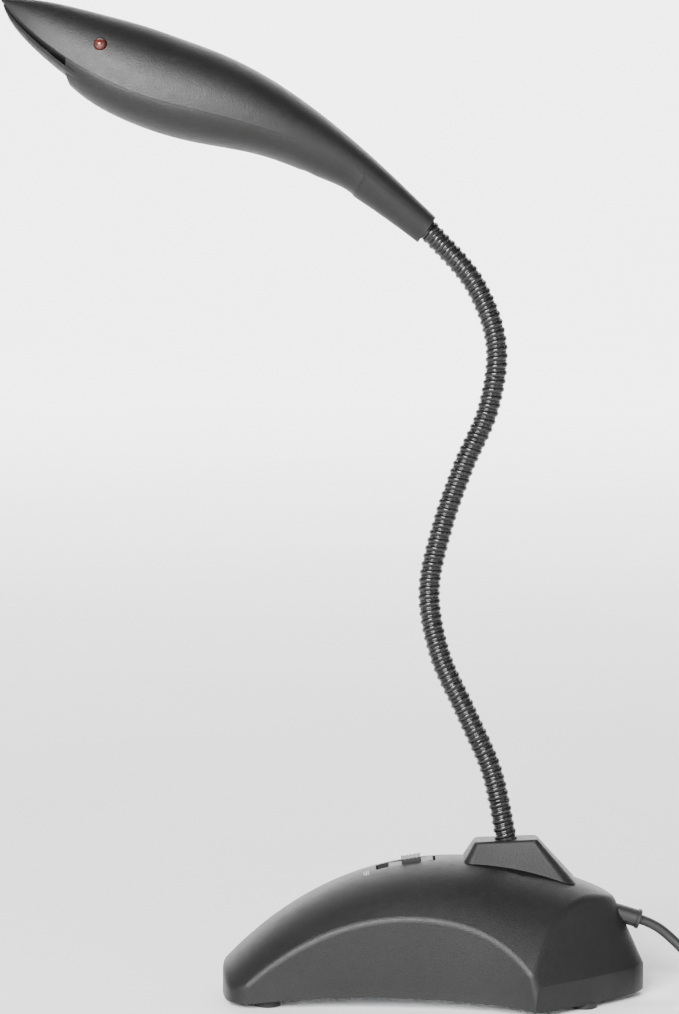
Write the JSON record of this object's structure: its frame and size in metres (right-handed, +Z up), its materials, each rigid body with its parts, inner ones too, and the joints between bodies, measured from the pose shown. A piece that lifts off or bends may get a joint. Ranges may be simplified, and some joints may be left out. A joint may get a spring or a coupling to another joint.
{
  "type": "gooseneck microphone",
  "caption": "Desktop microphone: leaf-shaped head on a bendable gooseneck, arched weighted base with slide switch, thin cord with 3.5 mm plug.",
  "frame": {"origin": "on the desk plane under the middle of the base's length and width", "axes": "+Z up; +X towards the rear of the base, where the cord leaves; the head points towards -X; Y across"},
  "size_m": [0.2332, 0.056, 0.2488],
  "materials": {
    "housing_plastic": "spark-eroded dark grey ABS",
    "head_plastic": "spark-eroded dark grey ABS",
    "switch_plastic": "fine matte dark grey plastic",
    "inner_plastic": "plain moulded plastic",
    "foot_rubber": "matte rubber",
    "cord_pvc": "soft satin PVC",
    "neck_coating": "glossy black coating on wound steel",
    "steel": "zinc plated steel",
    "plug_metal": "nickel plated contact",
    "brass": "plain brass",
    "board": "solder resist on board",
    "lamp_red": "clear red epoxy, unlit",
    "foam": "open cell foam",
    "lead_pvc": "lead insulation"
  },
  "bodies": {
    "base": {"base_housing": "housing_plastic", "neck_turret": "housing_plastic", "turret_screws": "steel", "base_plate": "steel", "base_plate_screws": "steel", "ballast_weight": "steel", "foot_front_near": "foot_rubber", "foot_front_far": "foot_rubber", "foot_rear_near": "foot_rubber", "foot_rear_far": "foot_rubber", "slide_switch_case": "steel", "switch_terminals": "brass", "switch_board": "board", "board_screws": "steel", "neck_ferrule_lower": "steel", "neck_nut": "steel", "base_leads": "lead_pvc", "strain_relief": "cord_pvc", "cord_tube": "cord_pvc", "cord_coil": "cord_pvc", "cord_tie": "inner_plastic", "plug_body": "cord_pvc", "plug_sleeve": "plug_metal", "plug_insulator": "inner_plastic", "plug_tip": "plug_metal"},
    "switch_slide": {"switch_slider": "switch_plastic", "switch_actuator": "inner_plastic", "switch_contact": "brass"},
    "neck_01": {"neck_link_01": "neck_coating", "neck_lead_01": "lead_pvc"},
    "neck_02": {"neck_link_02": "neck_coating", "neck_lead_02": "lead_pvc"},
    "neck_03": {"neck_link_03": "neck_coating", "neck_lead_03": "lead_pvc"},
    "neck_04": {"neck_link_04": "neck_coating", "neck_lead_04": "lead_pvc"},
    "neck_05": {"neck_link_05": "neck_coating", "neck_lead_05": "lead_pvc"},
    "neck_06": {"neck_link_06": "neck_coating", "neck_lead_06": "lead_pvc"},
    "neck_07": {"neck_link_07": "neck_coating", "neck_lead_07": "lead_pvc"},
    "neck_08": {"neck_link_08": "neck_coating", "neck_lead_08": "lead_pvc"},
    "neck_09": {"neck_link_09": "neck_coating", "neck_lead_09": "lead_pvc"},
    "neck_10": {"neck_link_10": "neck_coating", "neck_lead_10": "lead_pvc"},
    "head": {"neck_ferrule_upper": "steel", "ferrule_clip": "steel", "head_upper_shell": "head_plastic", "head_lower_cover": "head_plastic", "mic_grille": "head_plastic", "foam_disc": "foam", "capsule_boot": "foot_rubber", "electret_capsule": "steel", "indicator_lamp": "lamp_red", "lamp_leads": "steel", "head_lead": "lead_pvc", "head_cover_screw": "steel"}
  },
  "joints": [
    {"name": "neck_lower_nod", "type": "hinge", "parent": "base", "child": "neck_01", "pos_m": [0.01794, 0, 0.0415], "axis": [0, 1, 0], "range_deg": [-13, 13]},
    {"name": "neck_lower_swing", "type": "hinge", "parent": "neck_01", "child": "neck_02", "pos_m": [0.01443, 0, 0.05715], "axis": [0.9504, 0, 0.3111], "range_deg": [-11, 11]},
    {"name": "neck_lower_nod_2", "type": "hinge", "parent": "neck_02", "child": "neck_03", "pos_m": [0.00799, 0, 0.0719], "axis": [0, 1, 0], "range_deg": [-13, 13]},
    {"name": "neck_lower_swing_2", "type": "hinge", "parent": "neck_03", "child": "neck_04", "pos_m": [0.00141, 0, 0.08658], "axis": [0.957, 0, 0.2899], "range_deg": [-11, 11]},
    {"name": "neck_lower_nod_3", "type": "hinge", "parent": "neck_04", "child": "neck_05", "pos_m": [-0.00123, 0, 0.10234], "axis": [0, 1, 0], "range_deg": [-13, 13]},
    {"name": "neck_lower_swing_3", "type": "hinge", "parent": "neck_05", "child": "neck_06", "pos_m": [0.00188, 0, 0.11809], "axis": [0.9657, 0, -0.2595], "range_deg": [-11, 11]},
    {"name": "neck_upper_nod", "type": "hinge", "parent": "neck_06", "child": "neck_07", "pos_m": [0.00709, 0, 0.13331], "axis": [0, 1, 0], "range_deg": [-13, 13]},
    {"name": "neck_upper_swing", "type": "hinge", "parent": "neck_07", "child": "neck_08", "pos_m": [0.01337, 0, 0.14813], "axis": [0.9666, 0, -0.2565], "range_deg": [-11, 11]},
    {"name": "neck_upper_nod_2", "type": "hinge", "parent": "neck_08", "child": "neck_09", "pos_m": [0.01522, 0, 0.16397], "axis": [0, 1, 0], "range_deg": [-13, 13]},
    {"name": "neck_upper_swing_2", "type": "hinge", "parent": "neck_09", "child": "neck_10", "pos_m": [0.00977, 0, 0.179], "axis": [0.8635, 0, 0.5044], "range_deg": [-11, 11]},
    {"name": "neck_upper_nod_3", "type": "hinge", "parent": "neck_10", "child": "head", "pos_m": [-0.00066, 0, 0.19116], "axis": [0, 1, 0], "range_deg": [-13, 13]},
    {"name": "switch_slide", "type": "slide", "parent": "base", "child": "switch_slide", "axis": [-0.9864, 0, -0.1647], "range_m": [0, 0.003]}
  ],
  "couplings": [
    {"joint": "neck_lower_nod_2", "follows": "neck_lower_nod", "ratio": 1},
    {"joint": "neck_lower_swing_2", "follows": "neck_lower_swing", "ratio": 1},
    {"joint": "neck_lower_nod_3", "follows": "neck_lower_nod", "ratio": 1},
    {"joint": "neck_lower_swing_3", "follows": "neck_lower_swing", "ratio": 1},
    {"joint": "neck_upper_nod_2", "follows": "neck_upper_nod", "ratio": 1},
    {"joint": "neck_upper_swing_2", "follows": "neck_upper_swing", "ratio": 1},
    {"joint": "neck_upper_nod_3", "follows": "neck_upper_nod", "ratio": 1}
  ]
}
